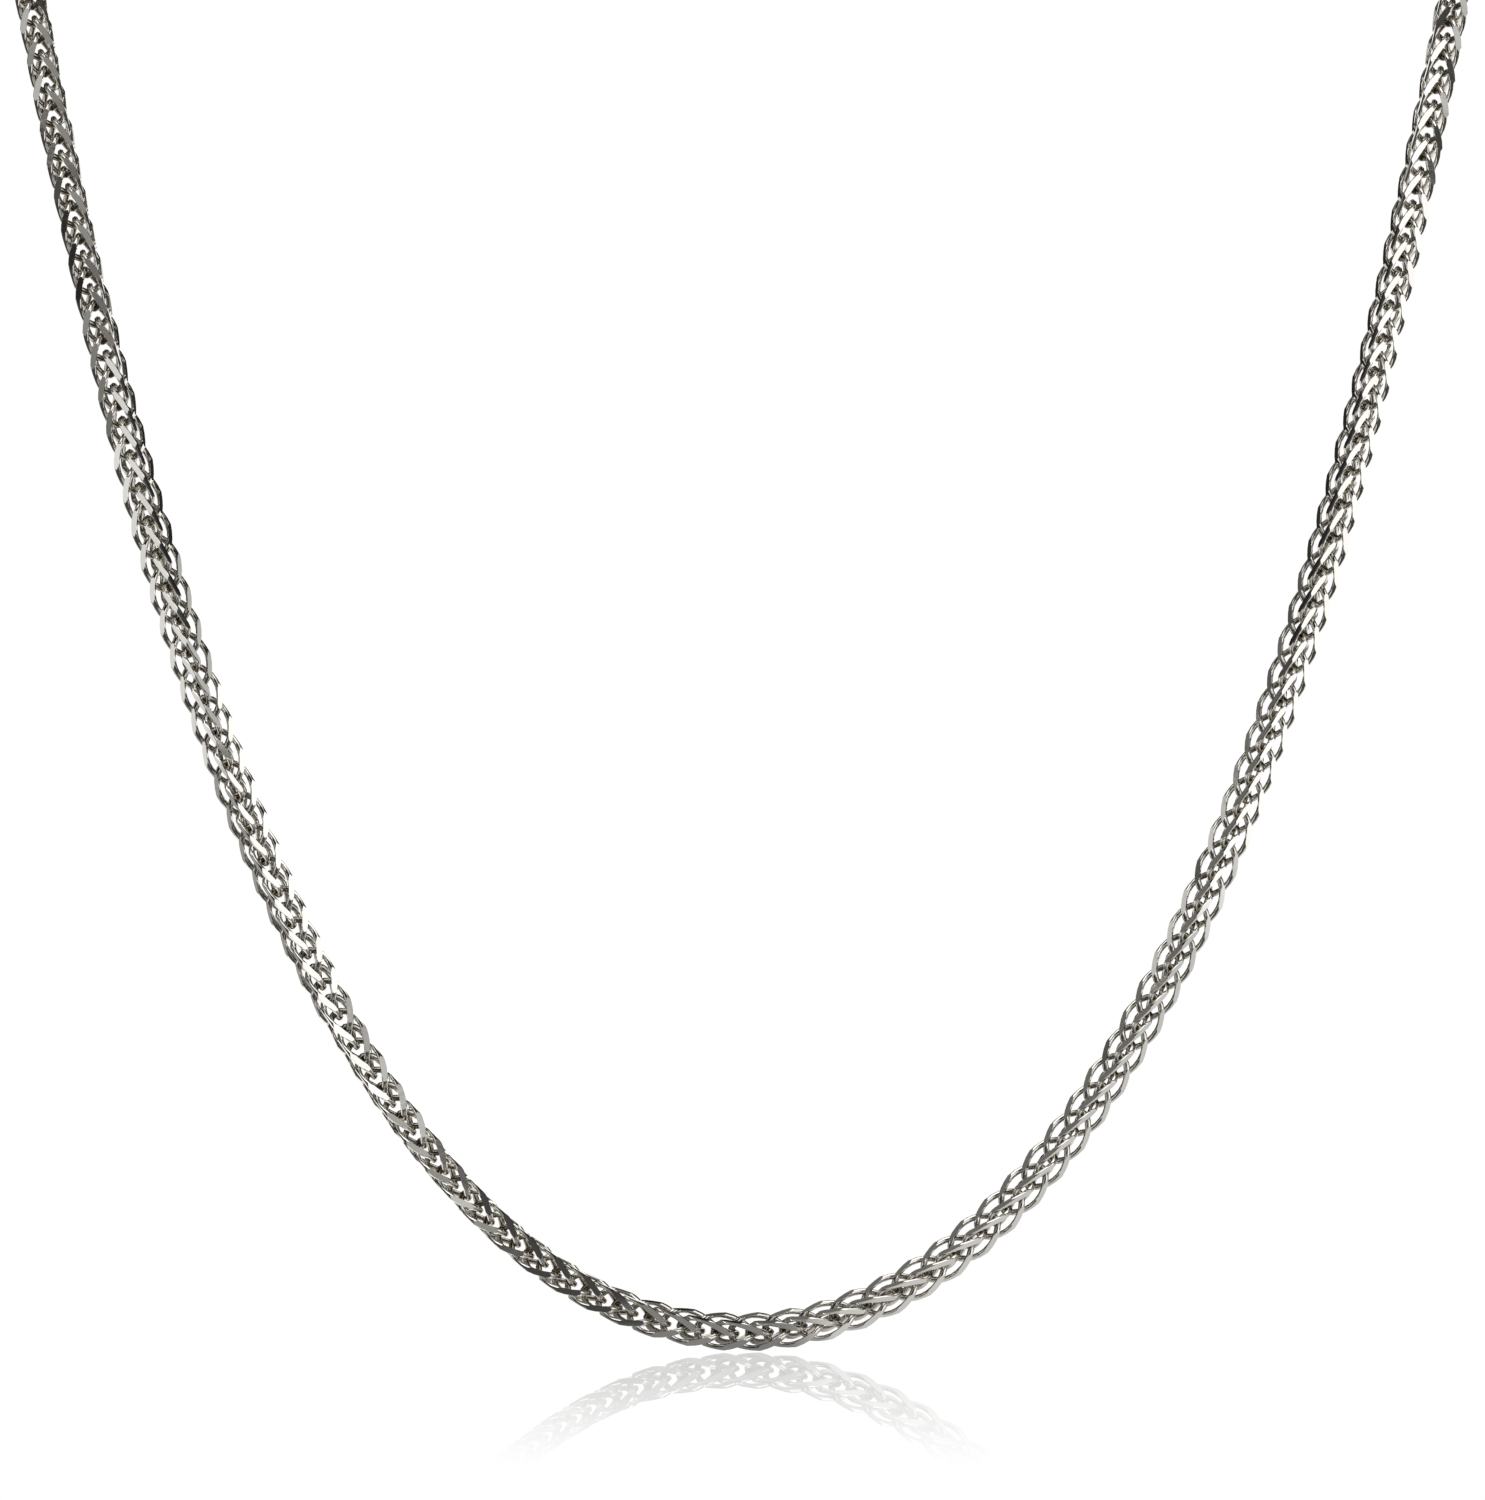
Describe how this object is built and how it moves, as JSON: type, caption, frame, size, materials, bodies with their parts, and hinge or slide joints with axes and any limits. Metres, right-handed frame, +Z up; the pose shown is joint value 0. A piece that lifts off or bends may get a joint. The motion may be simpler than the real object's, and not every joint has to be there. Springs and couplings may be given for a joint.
{
  "type": "wheat chain necklace",
  "caption": "Slim wheat chain necklace: braided square chain with bright cut flats in a closed loop, a plain clasp at the nape and a smooth hanging front.",
  "frame": {"origin": "middle of the clasp, where the necklace lies on the nape", "axes": "+Z up, the way the necklace hangs; -Y forwards to the hanging front; +X to the right as seen from the front"},
  "size_m": [0.1024, 0.0829, 0.1253],
  "materials": {
    "white_metal": "polished, with bright flat cuts along the chain"
  },
  "bodies": {
    "root": {"chain": "white_metal", "clasp": "white_metal", "clasp_ring": "white_metal", "end_ring": "white_metal"}
  },
  "joints": []
}
